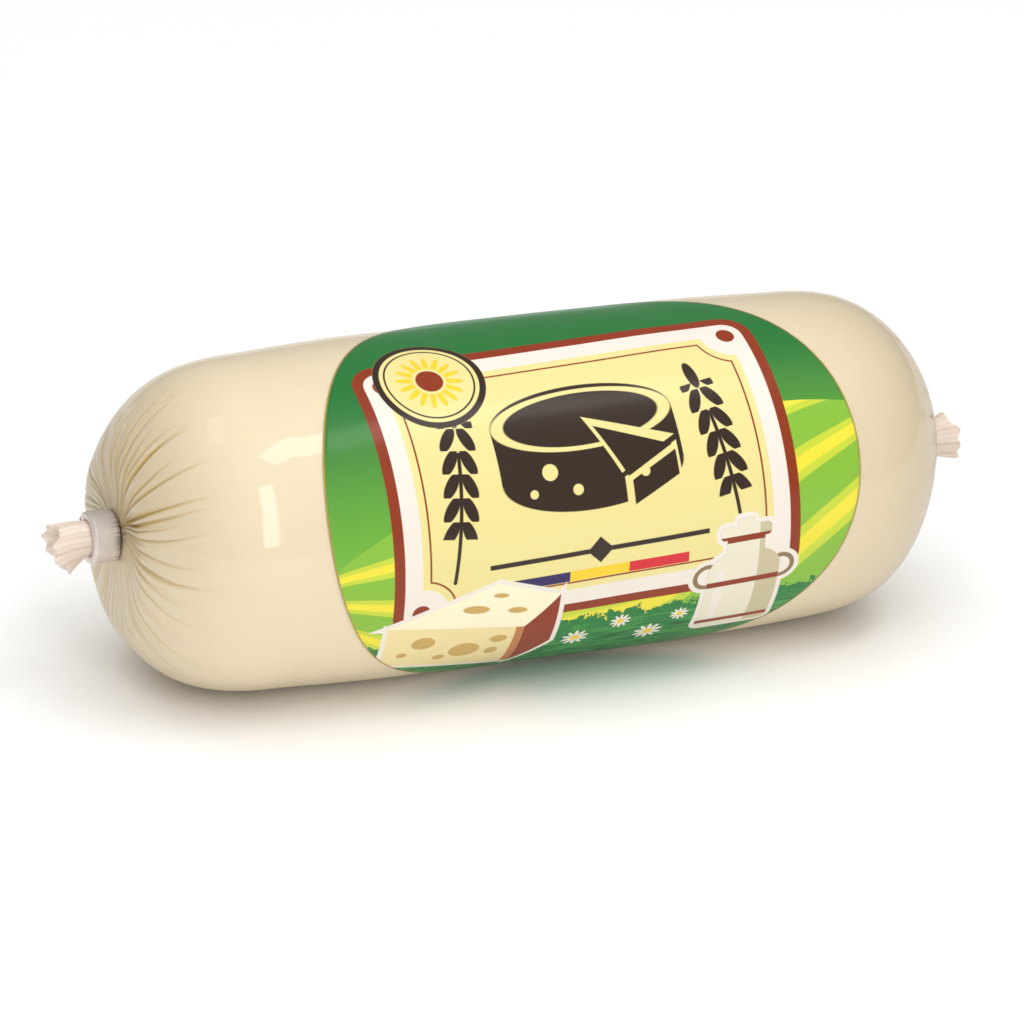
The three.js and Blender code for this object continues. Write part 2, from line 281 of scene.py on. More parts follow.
def gathered(end):
    """The pleats of one end, each with its own place, width, depth, length, lean and sharper flank."""
    draw = random.Random(end.seed)
    pleats = []
    for i in range(end.pleats):
        pleats.append(SimpleNamespace(
            angle=FULL_TURN * (i + draw.uniform(-0.35, 0.35)) / end.pleats,
            depth=end.pleat_depth * draw.uniform(0.45, 1.3),
            run=draw.uniform(end.pleat_least, end.pleat_most),
            width=draw.uniform(0.8, 1.7),
            lean=draw.uniform(-0.12, 0.12),
            flank=draw.choice([-1, 1]),
        ))
    for angle, run, depth in end.creases:
        pleats.append(SimpleNamespace(
            angle=math.radians(angle), depth=depth, run=run, width=draw.uniform(1.0, 1.5),
            lean=draw.uniform(-0.04, 0.04), flank=draw.choice([-1, 1]),
        ))
    return pleats


def crowding(end, angle):
    """How closely the film is gathered round the neck: the most on the side it is drawn to."""
    towards = smoothstep(np.cos(angle - CROWDED_AT), *LOOSE_TO_CROWDED)
    return 1 - end.loose * (1 - towards)


def fold_depth(end, run, radius, angle):
    """How deep the film is folded in, in millimetres, and where it puckers at the pleats' ends."""
    total = np.zeros_like(run)
    pucker = np.zeros_like(run)
    spacing = FULL_TURN * np.maximum(radius, NECK_RADIUS) / end.pleats
    drawn_up = end.lean * (1 - smoothstep(run, 2, 20))
    for pleat in gathered(end):
        centre = pleat.angle + pleat.lean * (run / pleat.run) ** 2
        centre = centre - drawn_up * math.sin(pleat.angle - DRAWN_TO)
        turned = (angle - centre + math.pi) % FULL_TURN - math.pi
        off = turned * radius
        ending = np.clip(1 - run / (pleat.run * 1.05), 0, 1) ** 0.6
        half = np.minimum(pleat.width, spacing * WIDEST) * (TIP_WIDTH + (1 - TIP_WIDTH) * ending)
        half = np.where(off * pleat.flank > 0, half * SHARP_FLANK, half)
        inside = np.clip(1 - np.abs(off) / half, 0, 1)
        valley = inside * inside * (1 + VALLEY_ROUNDING - VALLEY_ROUNDING * inside)
        fading = 1 - smoothstep(run, pleat.run * FADES_FROM, pleat.run)
        deepest = np.minimum(pleat.depth, spacing * DEEPEST)
        total += deepest * fading * valley * crowding(end, centre)
        from_pucker = (run / pleat.run - PUCKER_PLACE) * pleat.run
        pucker += np.exp(-(from_pucker / PUCKER_LENGTH) ** 2 - (off / PUCKER_WIDTH) ** 2)
    return np.minimum(total, spacing * DEEPEST_JOINED), pucker


def spin_all(bm, axis, angle, steps, closes=True):
    """Spins all there is round the origin."""
    bmesh.ops.spin(
        bm, geom=bm.verts[:] + bm.edges[:], axis=axis, cent=(0, 0, 0), dvec=(0, 0, 0),
        angle=angle, steps=steps, use_merge=closes, use_duplicate=False,
    )


def spun(profile, steps):
    """A mesh of a profile, points of x and radius, spun round X. It keeps each point's row number."""
    bm = bmesh.new()
    row_layer = bm.verts.layers.float.new("row")
    line = []
    for row, (x, radius) in enumerate(profile):
        point = bm.verts.new((x, -radius, 0))
        point[row_layer] = row
        line.append(point)
    for pair in zip(line, line[1:]):
        bm.edges.new(pair)
    spin_all(bm, (1, 0, 0), FULL_TURN, steps // SPIN_CUTS)
    around = [edge for edge in bm.edges if edge.verts[0][row_layer] == edge.verts[1][row_layer]]
    bmesh.ops.subdivide_edges(bm, edges=around, cuts=SPIN_CUTS - 1, use_grid_fill=True)
    bmesh.ops.remove_doubles(bm, verts=bm.verts, dist=1e-4)
    bmesh.ops.recalc_face_normals(bm, faces=bm.faces)
    return bm


def mesh_of(bm, name):
    mesh = bpy.data.meshes.new(name)
    bm.to_mesh(mesh)
    bm.free()
    mesh.shade_smooth()
    return mesh


def read_points(mesh):
    """A mesh's points, as their x, y and z."""
    places = np.zeros(len(mesh.vertices) * 3)
    mesh.vertices.foreach_get("co", places)
    return places.reshape(-1, 3).T


def read_rows(mesh):
    """A spun mesh's points, as their angle and the number of the row that each came from."""
    _, y, z = read_points(mesh)
    rows = np.zeros(len(y), np.float32)
    mesh.attributes["row"].data.foreach_get("value", rows)
    return np.arctan2(z, -y), np.rint(rows).astype(int)


def write_points(mesh, places):
    mesh.vertices.foreach_set("co", places.astype(np.float32).ravel())
    mesh.update()


def write_share(mesh, name, values):
    """Keeps a share from 0 to 1 at each point, for a material to read."""
    attribute = mesh.attributes.new(name, "FLOAT", "POINT")
    attribute.data.foreach_set("value", np.clip(values, 0, 1).astype(np.float32))


def casing_surface(name, inset, first_rows, last_rows):
    """The casing's pleated surface, moved in by an inset, between two sets of closing rows."""
    rows = np.concatenate([first_rows, cap_rows(LEFT), body_rows(), cap_rows(RIGHT)[::-1], last_rows])
    side, reach, radius, run = rows.T
    mesh = mesh_of(spun(list(zip(side * reach, radius)), CASING_STEPS), name)
    angle, row = read_rows(mesh)
    side, reach, radius, run = side[row], reach[row], radius[row], run[row]
    folds = np.zeros_like(run)
    pucker = np.zeros_like(run)
    for end in ENDS:
        mine = (side == end.side) & (run < CAP_RUN)
        folds[mine], pucker[mine] = fold_depth(end, run[mine], radius[mine], angle[mine])
    step = 0.1
    along = side * reach
    wander = unevenness(along, angle) * smoothstep(radius, NECK_RADIUS, BODY_RADIUS * WAVY_FROM)
    moved = np.where(run >= 0, folds + inset - wander, 0)
    for end in ENDS:
        mine = (side == end.side) & (run >= 0) & (run < CAP_RUN)
        outer = np.minimum(radius[mine] + step, BODY_RADIUS)
        inner = np.maximum(radius[mine] - step, NECK_RADIUS)
        slope = (cap_reach(end, outer) - cap_reach(end, inner)) / (outer - inner)
        length = np.hypot(1, slope)
        reach[mine] -= moved[mine] / length
        radius[mine] += moved[mine] * slope / length
    middle = run >= CAP_RUN
    radius[middle] -= moved[middle]
    write_points(mesh, put(side, reach, radius, angle, FLOOR_GAP + inset))
    write_share(mesh, "fold", folds / FULL_FOLD)
    write_share(mesh, "pucker", pucker)
    near = 1 - smoothstep(run, 0, np.where(side < 0, LEFT.gather_run, RIGHT.gather_run))
    crowded = np.where(side < 0, crowding(LEFT, angle), crowding(RIGHT, angle))
    write_share(mesh, "gather", near * crowded)
    return mesh


def tail_edge(end, angle):
    """How far the tail's cut edge lies out of the axis and along it: petals with notches between."""
    corners = np.array(end.petals + [(end.petals[0][0] + 360, *end.petals[0][1:])], float)
    first = corners[0, 0]
    turned = first + (np.degrees(angle) - first) % 360
    between = np.interp(turned, corners[:, 0], np.arange(len(corners))) % 1
    notch = np.sin(math.pi * between) ** 2
    out = np.interp(turned, corners[:, 0], corners[:, 1]) - NOTCH_PINCH * notch
    along = np.interp(turned, corners[:, 0], corners[:, 2]) - NOTCH_DEPTH * notch
    return out, along


def ruffles(end, angle, share):
    """The fine folds of the tail, from 0 on a ridge to 1 in a valley. They drift as they run out."""
    draw = random.Random(end.seed + 1)
    total = 0
    for folds, size in TAIL_WAVES:
        drift = draw.uniform(-0.4, 0.4) * share
        phase = draw.uniform(0, math.pi) + 0.5 * np.sin(angle * draw.choice([2, 3]) + draw.uniform(0, 6))
        total = total + size * (1 - np.abs(np.sin(folds * angle / 2 + phase + drift)))
    return total


def tail_surface(end):
    """The gathered film beyond the clip: a ruffled trumpet with a wall, closed inside the clip.

    A share goes from 0 at the clip's outer face to 1 at the cut edge, and below 0 inside the clip.
    """
    out_shares = np.concatenate([[-1, -0.8], np.linspace(0, 1, TAIL_ROWS)])
    in_shares = np.linspace(1, 0, TAIL_ROWS)
    share = np.concatenate([[-1], out_shares, in_shares])
    inner = np.concatenate([[0], np.zeros(len(out_shares)), np.ones(TAIL_ROWS)])
    width = np.ones(len(share))
    width[0] = width[-1] = 0
    start = np.linspace(0, 1, len(share))
    mesh = mesh_of(spun(list(zip(start, width)), TAIL_STEPS), f"film_tail_{end.name}")
    angle, row = read_rows(mesh)
    share, inner, width = share[row], inner[row], width[row]
    out, along = tail_edge(end, angle)
    opened = np.clip(share, 0, 1)
    fold = ruffles(end, angle, opened)
    gained = 2 * TAIL_SWELL * opened * (1 - opened) + opened * opened
    radius = CLIP_BORE + (out - CLIP_BORE) * gained
    radius -= (RUFFLE_AT_CLIP + RUFFLE_GAIN * opened) * fold
    hollow = 1 - HOLLOW_NARROWING * (1 - opened) ** HOLLOW_POWER
    radius = np.where(inner > 0, (radius - TAIL_WALL) * hollow, radius) * width
    reach = end.clip_reach + end.clip_width + np.where(share < 0, share * end.clip_width / 2, 0)
    reach = reach + np.where(inner > 0, TAIL_FLOOR + (along - TAIL_FLOOR) * opened, along * opened)
    reach -= RUFFLE_CUT * fold * opened
    places = put(end.side, reach, radius, angle)
    places[:, 2] -= end.droop * opened * opened * MM
    write_points(mesh, places)
    write_share(mesh, "ruffle", fold)
    return mesh


def clip_surface(end):
    """Flat aluminium wire, its edges rounded, bent round the neck until its two ends meet."""
    bm = bmesh.new()
    bmesh.ops.create_grid(bm, x_segments=1, y_segments=1, size=0.5)
    depth = end.clip_radius - CLIP_BORE
    for corner in bm.verts:
        corner.co = (corner.co.x * end.clip_width, -CLIP_BORE - depth * (corner.co.y + 0.5), 0)
    bmesh.ops.bevel(
        bm, geom=bm.verts[:] + bm.edges[:], offset=CLIP_EDGE, offset_type="OFFSET", affect="VERTICES",
        segments=CLIP_EDGE_SEGMENTS, profile=0.5, material=-1,
    )
    flats = [edge for edge in bm.edges if edge.calc_length() > 2 * CLIP_EDGE]
    bmesh.ops.subdivide_edges(bm, edges=flats, cuts=CLIP_FLAT_CUTS)
    bmesh.ops.delete(bm, geom=bm.faces[:], context="FACES_ONLY")
    joint = -CLIP_JOINT - CLIP_SLIT / 2
    bmesh.ops.rotate(bm, verts=bm.verts, cent=(0, 0, 0), matrix=Matrix.Rotation(joint, 3, "X"))
    spin_all(bm, (1, 0, 0), FULL_TURN - CLIP_SLIT, CLIP_STEPS, closes=False)
    ends = [edge for edge in bm.edges if edge.is_boundary]
    bmesh.ops.holes_fill(bm, edges=ends, sides=0)
    bmesh.ops.recalc_face_normals(bm, faces=bm.faces)
    mesh = mesh_of(bm, f"pressed_clip_{end.name}")
    x, y, z = read_points(mesh)
    angle = np.arctan2(z, -y)
    radius = np.hypot(y, z)
    outward = np.clip((radius - CLIP_BORE) / depth, 0, 1)
    square = (np.abs(np.cos(angle)) ** CLIP_SQUARENESS + np.abs(np.sin(angle)) ** CLIP_SQUARENESS)
    radius = radius * (1 + (square ** (-1 / CLIP_SQUARENESS) - 1) * outward)
    near_body = smoothstep(-end.side * x, end.clip_width / 2 - DRAG_LENGTH, end.clip_width / 2)
    marks = np.zeros_like(radius)
    for mark in DRAG_ANGLES:
        off = (angle - math.radians(mark) + math.pi) % FULL_TURN - math.pi
        marks += np.exp(-(off * end.clip_radius / DRAG_WIDTH) ** 2)
    radius -= DRAG_DEPTH * np.minimum(marks, 1) * near_body * outward
    low, high = box_mm(f"clip_{end.name}")
    moved = np.stack([x, -radius * np.cos(angle), radius * np.sin(angle)], axis=-1)
    write_points(mesh, ((low + high) / 2 + moved) * MM)
    write_share(mesh, "drag", np.minimum(marks, 1) * near_body)
    return mesh


# ---------------------------------------------------------------- materials

def linear(code):
    """A colour from its sRGB hex code, as linear RGBA."""
    channels = [int(code[i:i + 2], 16) / 255 for i in (1, 3, 5)]
    return (*[c / 12.92 if c <= 0.04045 else ((c + 0.055) / 1.055) ** 2.4 for c in channels], 1.0)


def add(tree, kind, settings, *values, take=None, **named):
    """Adds a node and returns one of its outputs: the first in use, or the one that take names.

    Values fill the inputs in use in their order, and named ones go to the input of that name.
    Each is a plain value or another node's output.
    """
    node = tree.nodes.new("ShaderNode" + kind)
    for name, value in settings.items():
        setattr(node, name, value)
    pairs = list(zip([socket for socket in node.inputs if socket.enabled], values))
    pairs += [(node.inputs[name.replace("_", " ")], value) for name, value in named.items()]
    for socket, value in pairs:
        if isinstance(value, bpy.types.NodeSocket):
            tree.links.new(value, socket)
        else:
            socket.default_value = value
    return node.outputs[take] if take else next((out for out in node.outputs if out.enabled), None)


# Settings that many nodes share. A share is one that the mesh keeps at each point.
COLOURS = {"data_type": "RGBA"}
PLUS, MINUS, TIMES = ({"operation": name} for name in ("ADD", "SUBTRACT", "MULTIPLY"))
LEAST, MOST, SIZE = ({"operation": name} for name in ("MINIMUM", "MAXIMUM", "ABSOLUTE"))
SINE, LENGTH, DISTANCE = ({"operation": name} for name in ("SINE", "LENGTH", "DISTANCE"))
ANGLE, DOT = ({"operation": name} for name in ("ARCTAN2", "DOT_PRODUCT"))
INVERSE = {"vector_type": "TEXTURE"}
FOLD, PUCKER, GATHER = ({"attribute_name": name} for name in ("fold", "pucker", "gather"))
RUFFLE, DRAG = ({"attribute_name": name} for name in ("ruffle", "drag"))

FILM_GLOSS_MOST = 0.25  # the film reflects no more than this, however flat the angle
FILM_HAZE_MOST = 0.25


def fresh_material(name):
    """A material, its empty node tree, and the place that its patterns read."""
    material = bpy.data.materials.new(name)
    material.use_nodes = True
    tree = material.node_tree
    tree.nodes.clear()
    return material, tree, add(tree, "TexCoord", {}, take="Object")


def per_metre(size):
    """The scale of a pattern in Object coordinates, from the size of its grains in millimetres."""
    return 1 / (size * MM)


def cheese_material(colours):
    """Kneaded cheese: dense ivory paste, a little translucent, barely mottled.

    Painted shade darkens it towards the necks, among the dense pleats. Whey and painted crease shade tint
    its folds ochre.
    """
    material, tree, place = fresh_material("kneaded_cheese")
    mottle = add(tree, "TexNoise", {}, place, Scale=per_metre(6.25), Detail=4.0, Roughness=0.6)
    paste = add(tree, "Mix", COLOURS, mottle, colours.cheese, colours.cheese_light)
    # painted shade: the paste darkens where the film is gathered round the necks
    gather = add(tree, "Attribute", GATHER, take="Fac")
    neck_shaded = add(tree, "Mix", COLOURS, gather, paste, colours.cheese_neck_shade)
    # whey and painted crease shade: the deeper a fold, the darker and more ochre the paste
    fold = add(tree, "Attribute", FOLD, take="Fac")
    deep = add(tree, "Math", {"operation": "POWER", "use_clamp": True}, fold, 0.8)
    whey_and_crease_shaded = add(tree, "Mix", COLOURS, deep, neck_shaded, colours.whey_and_crease_shade)
    shader = add(
        tree, "BsdfPrincipled", {}, whey_and_crease_shaded, Roughness=0.5,
        Subsurface_Weight=0.25, Subsurface_Radius=(1.0, 0.75, 0.45), Subsurface_Scale=2.5 * MM,
    )
    add(tree, "OutputMaterial", {}, shader)
    return material


def film_material(colours):
    """Clear polyamide casing film: glass-clear where it is stretched, milky where it is gathered."""
    material, tree, place = fresh_material("polyamide_casing_film")
    ripple = add(tree, "TexNoise", {}, place, Scale=per_metre(10 / 3), Detail=3.0)
    rippled = add(tree, "Bump", {}, Strength=0.05, Distance=0.5 * MM, Height=ripple)
    streak = (per_metre(5 / 7), per_metre(50 / 3), per_metre(50 / 3))
    stretched = add(tree, "Mapping", {}, place, Scale=streak)
    drawn = add(tree, "TexNoise", {}, stretched, Scale=1.0, Detail=3.0)
    streaked = add(tree, "Bump", {}, Strength=0.12, Distance=0.05 * MM, Height=drawn, Normal=rippled)
    crumple = add(tree, "TexNoise", {}, place, Scale=per_metre(10 / 9), Detail=2.0)
    puckers = add(tree, "Math", TIMES, crumple, add(tree, "Attribute", PUCKER, take="Fac"))
    bump = add(tree, "Bump", {}, Strength=1.0, Distance=0.6 * MM, Height=puckers, Normal=streaked)
    clear = add(tree, "BsdfTransparent", {}, (1, 1, 1, 1))
    milky = add(tree, "BsdfDiffuse", {}, colours.film_milk)
    ridge = add(
        tree, "Math", {"operation": "SUBTRACT", "use_clamp": True},
        add(tree, "Attribute", GATHER, take="Fac"), add(tree, "Attribute", FOLD, take="Fac"),
    )
    haze = add(tree, "Math", TIMES, ridge, FILM_HAZE_MOST)
    body = add(tree, "MixShader", {}, haze, clear, milky)
    gloss = add(tree, "BsdfGlossy", {}, Roughness=0.06, Normal=bump)
    fresnel = add(tree, "Fresnel", {}, IOR=1.5, Normal=bump)
    fresnel = add(tree, "Math", LEAST, fresnel, FILM_GLOSS_MOST)
    add(tree, "OutputMaterial", {}, add(tree, "MixShader", {}, fresnel, body, gloss))
    return material


def tail_material(colours):
    """The same film in many layers: milky, a little pink, with a broken gloss on its ridges."""
    material, tree, place = fresh_material("gathered_casing_film")
    speckle = add(tree, "TexNoise", {}, place, Scale=per_metre(5 / 11), Detail=3.0)
    ruffle = add(tree, "Attribute", RUFFLE, take="Fac")
    # painted shade: the film darkens towards the valleys between the ruffles
    tone = add(tree, "Mix", COLOURS, ruffle, colours.film_milk, colours.film_valley_shade)
    bump = add(tree, "Bump", {}, Strength=0.3, Distance=0.15 * MM, Height=speckle)
    shader = add(
        tree, "BsdfPrincipled", {}, tone, Roughness=0.35, Normal=bump,
        Subsurface_Weight=0.4, Subsurface_Radius=(1.0, 0.9, 0.8), Subsurface_Scale=1.0 * MM,
    )
    add(tree, "OutputMaterial", {}, shader)
    return material


def clip_material(colours):
    """Soft aluminium wire, pressed and dragged by the die: satin, with fine lines along the neck."""
    material, tree, place = fresh_material("pressed_aluminium_wire")
    line_size = (per_metre(5), per_metre(10 / 9), per_metre(10 / 9))
    drawn = add(tree, "Mapping", {}, place, Scale=line_size)
    lines = add(tree, "TexNoise", {}, drawn, Scale=1.0, Detail=5.0, Roughness=0.7)
    patch = add(tree, "TexNoise", {}, place, Scale=per_metre(2), Detail=3.0)
    worn = add(tree, "Mix", COLOURS, patch, colours.aluminium, colours.aluminium_worn)
    tone = add(tree, "Mix", COLOURS, add(tree, "Attribute", DRAG, take="Fac"), worn, colours.aluminium_dark)
    rough = add(tree, "MapRange", {}, lines, 0.3, 0.7, 0.32, 0.5)
    bump = add(tree, "Bump", {}, Strength=0.15, Distance=0.06 * MM, Height=lines)
    shader = add(tree, "BsdfPrincipled", {}, tone, Metallic=0.6, Roughness=rough, Normal=bump)
    add(tree, "OutputMaterial", {}, shader)
    return material


# ---------------------------------------------------------------- print of the label

# The print is drawn in millimetres from the label's middle, across and up. A form is a signed
# distance, below 0 inside it, and a layer is a form with its colour. Taking a number off a form
# makes it larger by that much, the lesser of two forms joins them, and the greater is what they share.
PRINT_TURN = math.radians(2.65)
INK_EDGE = 0.07
PLAQUE_CENTRE = (-0.8, 2.7)
PLAQUE_HALF = (33.7, 22.1)
PLAQUE_SCOOP = 5.0
PLAQUE_BORDER = 3.3
PLAQUE_OUTLINE = 2.0
WHEEL_X = PLAQUE_CENTRE[0]
CHURN_X = 27.5
GRASS_TUFT = 20 / 7  # sizes of the print's noises, as the print is: in millimetres
GRASS_BLADE = (6.25, 10 / 9)
VARNISH_GRAIN = 1 / 3
FAR_UP = 100  # above the whole label, so that taking sizes from here mirrors the sides alone


def spot(tree, place, centre, radius):
    away = add(tree, "VectorMath", DISTANCE, place, (*centre, 0))
    return add(tree, "Math", MINUS, away, radius)


def oval(tree, place, centre, radii, turn=0):
    """Its distance is true along the smaller radius."""
    local = add(
        tree, "Mapping", INVERSE, place, (*centre, 0), (0, 0, math.radians(turn)), (*radii, 1)
    )
    away = add(tree, "VectorMath", LENGTH, local)
    return add(tree, "Math", TIMES, add(tree, "Math", MINUS, away, 1.0), min(radii))


def block(tree, place, centre, half, corner=0.0, turn=0):
    """A rectangle with rounded corners."""
    local = add(tree, "Mapping", INVERSE, place, (*centre, 0), (0, 0, math.radians(turn)))
    inner = (half[0] - corner, half[1] - corner, 0)
    past = add(tree, "VectorMath", MINUS, add(tree, "VectorMath", SIZE, local), inner)
    outside = add(tree, "VectorMath", LENGTH, add(tree, "VectorMath", MOST, past, (0, 0, 0)))
    return add(tree, "Math", MINUS, outside, max(corner, INK_EDGE))


def facet(tree, place, corners):
    """A convex shape, its corners given anticlockwise."""
    form = None
    for (x0, y0), (x1, y1) in zip(corners, corners[1:] + corners[:1]):
        side = math.hypot(x1 - x0, y1 - y0)
        outward = ((y1 - y0) / side, (x0 - x1) / side, 0)
        past = add(tree, "VectorMath", DOT, place, outward)
        past = add(tree, "Math", MINUS, past, outward[0] * x0 + outward[1] * y0)
        form = past if form is None else add(tree, "Math", MOST, form, past)
    return form


def joined(tree, *forms):
    whole = forms[0]
    for form in forms[1:]:
        whole = add(tree, "Math", LEAST, whole, form)
    return whole


def stroke(tree, form, width):
    """The outline of a form, as a line of that width."""
    return add(tree, "Math", MINUS, add(tree, "Math", SIZE, form), width / 2)


def flower(tree, place, centre, radius, petals):
    """A disc whose edge waves in and out with the angle."""
    local = add(tree, "VectorMath", MINUS, place, (*centre, 0))
    across = add(tree, "SeparateXYZ", {}, local, take="X")
    up = add(tree, "SeparateXYZ", {}, local, take="Y")
    angle = add(tree, "Math", ANGLE, up, across)
    wave = add(tree, "Math", SIZE, add(tree, "Math", SINE, add(tree, "Math", TIMES, angle, petals / 2)))
    edge = add(tree, "MapRange", {}, wave, 0.0, 1.0, radius * 0.35, radius)
    return add(tree, "Math", MINUS, add(tree, "VectorMath", LENGTH, local), edge)


def meadow_layers(tree, place, across, up, colours):
    """Two hills of mown strips under the sky's green, a hedge and the grass in front."""
    layers = []
    hill_radius = 80
    hills = [((-8, -76), (-66, -14), 20.0), ((34, -71), (80, 20), 26.0)]
    for centre, vanishing, strips in hills:
        hill = spot(tree, place, centre, hill_radius)
        local = add(tree, "VectorMath", MINUS, place, (*vanishing, 0))
        aside = add(tree, "Math", SIZE, add(tree, "SeparateXYZ", {}, local, take="X"))
        angle = add(tree, "Math", ANGLE, add(tree, "SeparateXYZ", {}, local, take="Y"), aside)
        bend = add(tree, "Math", SINE, add(tree, "Math", TIMES, across, 0.13))
        fan = add(tree, "Math", PLUS, add(tree, "Math", TIMES, angle, strips), bend)
        strip = add(tree, "Math", SINE, fan)
        layers.append((hill, colours.field))
        for from_crest, ink in ((-0.15, colours.strip), (-0.8, colours.mown)):
            narrower = add(tree, "Math", MINUS, strip, from_crest)
            layers.append((add(tree, "Math", MOST, hill, narrower), ink))
    tufts = add(
        tree, "TexNoise", {"noise_dimensions": "2D"}, place, Scale=1 / GRASS_TUFT, Detail=5.0, Roughness=0.7
    )
    rough_up = add(tree, "Math", PLUS, up, add(tree, "Math", TIMES, tufts, 9.0))
    layers.append((add(tree, "Math", MINUS, rough_up, -22.5), colours.grass))
    per_blade = (1 / GRASS_BLADE[0], 1 / GRASS_BLADE[1], 1)
    blade_place = add(tree, "Mapping", {}, place, Rotation=(0, 0, 0.12), Scale=per_blade)
    blades = add(tree, "TexNoise", {"noise_dimensions": "2D"}, blade_place, Scale=1.0, Detail=4.0)
    lit = add(tree, "Math", MINUS, 0.56, blades)
    dark = add(tree, "Math", MINUS, blades, 0.4)
    for height, form, ink in ((-24.5, lit, colours.grass_light), (-28, dark, colours.grass_dark)):
        below = add(tree, "Math", MINUS, rough_up, height)
        layers.append((add(tree, "Math", MOST, below, form), ink))
    return layers


def plaque_layers(tree, place, colours):
    """The pale plaque with scooped corners, its white border and its russet outline."""
    local = add(tree, "VectorMath", MINUS, place, (*PLAQUE_CENTRE, 0))
    mirrored = add(tree, "VectorMath", SIZE, local)
    past = add(tree, "VectorMath", MINUS, mirrored, (*PLAQUE_HALF, 0))
    outside = add(tree, "VectorMath", LENGTH, add(tree, "VectorMath", MOST, past, (0, 0, 0)))
    past_side = add(tree, "SeparateXYZ", {}, past, take="X")
    past_top = add(tree, "SeparateXYZ", {}, past, take="Y")
    inside = add(tree, "Math", LEAST, add(tree, "Math", MOST, past_side, past_top), 0.0)
    straight = add(tree, "Math", PLUS, outside, inside)
    corner = add(tree, "VectorMath", DISTANCE, mirrored, (*PLAQUE_HALF, 0))
    plaque = add(tree, "Math", MOST, straight, add(tree, "Math", MINUS, PLAQUE_SCOOP, corner))
    keyline = stroke(tree, add(tree, "Math", MINUS, plaque, -1.5), 0.35)
    return [
        (add(tree, "Math", MINUS, plaque, PLAQUE_BORDER + PLAQUE_OUTLINE), colours.russet),
        (add(tree, "Math", MINUS, plaque, PLAQUE_BORDER), colours.border),
        (plaque, colours.panel),
        (keyline, colours.russet),
    ]


def wheel_layers(tree, place, colours):
    """The main figure: a cut cheese wheel between two ears of wheat, in dark brown."""
    top = oval(tree, place, (WHEEL_X, 12.0), (17.5, 6.6))
    side = block(tree, place, (WHEEL_X, 7.0), (17.5, 5.0))
    wheel = joined(tree, top, side, oval(tree, place, (WHEEL_X, 2.0), (17.5, 6.6)))
    rim = stroke(tree, oval(tree, place, (WHEEL_X, 12.0), (16.2, 5.4)), 0.8)
    cut_top = facet(tree, place, [(WHEEL_X, 12.2), (4.5, 1.0), (15.8, 6.3)])
    cut_side = facet(tree, place, [(4.9, -6.6), (15.9, -1.4), (15.9, 5.2), (4.9, 0.2)])
    wedge = facet(tree, place, [(0.9, 10.2), (5.7, 0.2), (15.0, 4.6)])
    wedge_side = facet(tree, place, [(6.3, -5.0), (15.4, -0.9), (15.4, 3.6), (6.3, -0.6)])
    layers = [(wheel, colours.ink), (rim, colours.panel)]
    layers.append((joined(tree, cut_top, cut_side), colours.panel))
    layers.append((joined(tree, wedge, wedge_side), colours.ink))
    for centre, radius in (((-9.0, 3.2), 1.5), ((-4.2, -0.6), 1.0), ((-12.6, -0.2), 0.8), ((9.0, 0.6), 0.9)):
        layers.append((spot(tree, place, centre, radius), colours.panel))
    from_above = add(tree, "VectorMath", MINUS, place, (WHEEL_X, FAR_UP, 0))
    mirrored = add(tree, "VectorMath", SIZE, from_above)
    root = (25.2, FAR_UP - 3.5, 0)
    stem_place = add(tree, "Mapping", INVERSE, mirrored, root, (0, 0, math.radians(-8)))
    aside = add(tree, "Math", SIZE, add(tree, "SeparateXYZ", {}, stem_place, take="X"))
    down = add(tree, "SeparateXYZ", {}, stem_place, take="Y")
    pace = 2.1
    paced = add(tree, "Math", {"operation": "WRAP"}, down, pace, -pace)
    both = add(tree, "CombineXYZ", {}, aside, paced)
    grains = oval(tree, both, (1.75, 0.0), (1.1, 2.7), -28)
    ear = add(tree, "Math", MOST, grains, block(tree, stem_place, (0, -1.2), (6.0, 10.6)))
    tip = oval(tree, stem_place, (0, -13.4), (1.1, 2.8))
    stem = block(tree, stem_place, (0, 6.0), (0.35, 12.0), 0.3)
    layers.append((joined(tree, ear, tip, stem), colours.ink))
    rule = (WHEEL_X, -12.2)
    layers.append((block(tree, place, rule, (21, 0.4)), colours.ink))
    layers.append((block(tree, place, rule, (1.7, 1.7), 0.0, 45), colours.ink))
    return layers


def ribbon_layers(tree, place, colours):
    """A short ribbon of three colours along the foot of the plaque."""
    layers = []
    half = (5.7, 0.95)
    for i, ink in enumerate((colours.navy, colours.gold, colours.red)):
        layers.append((block(tree, place, (-12.2 + 2 * half[0] * i, -16.6), half), ink))
    return layers


def sun_layers(tree, place, colours):
    """A round badge with a sun on the plaque's upper left."""
    centre = (-25.5, 24.5)
    badge = spot(tree, place, centre, 10.2)
    reach = 6.2
    rays = add(tree, "Math", MOST, flower(tree, place, centre, reach, 16), spot(tree, place, centre, reach))
    return [
        (badge, colours.panel),
        (stroke(tree, add(tree, "Math", MINUS, badge, -0.6), 1.2), colours.ink),
        (stroke(tree, add(tree, "Math", MINUS, badge, -2.1), 0.35), colours.ink),
        (rays, colours.gold),
        (spot(tree, place, centre, 3.1), colours.panel),
        (spot(tree, place, centre, 2.5), colours.russet),
    ]


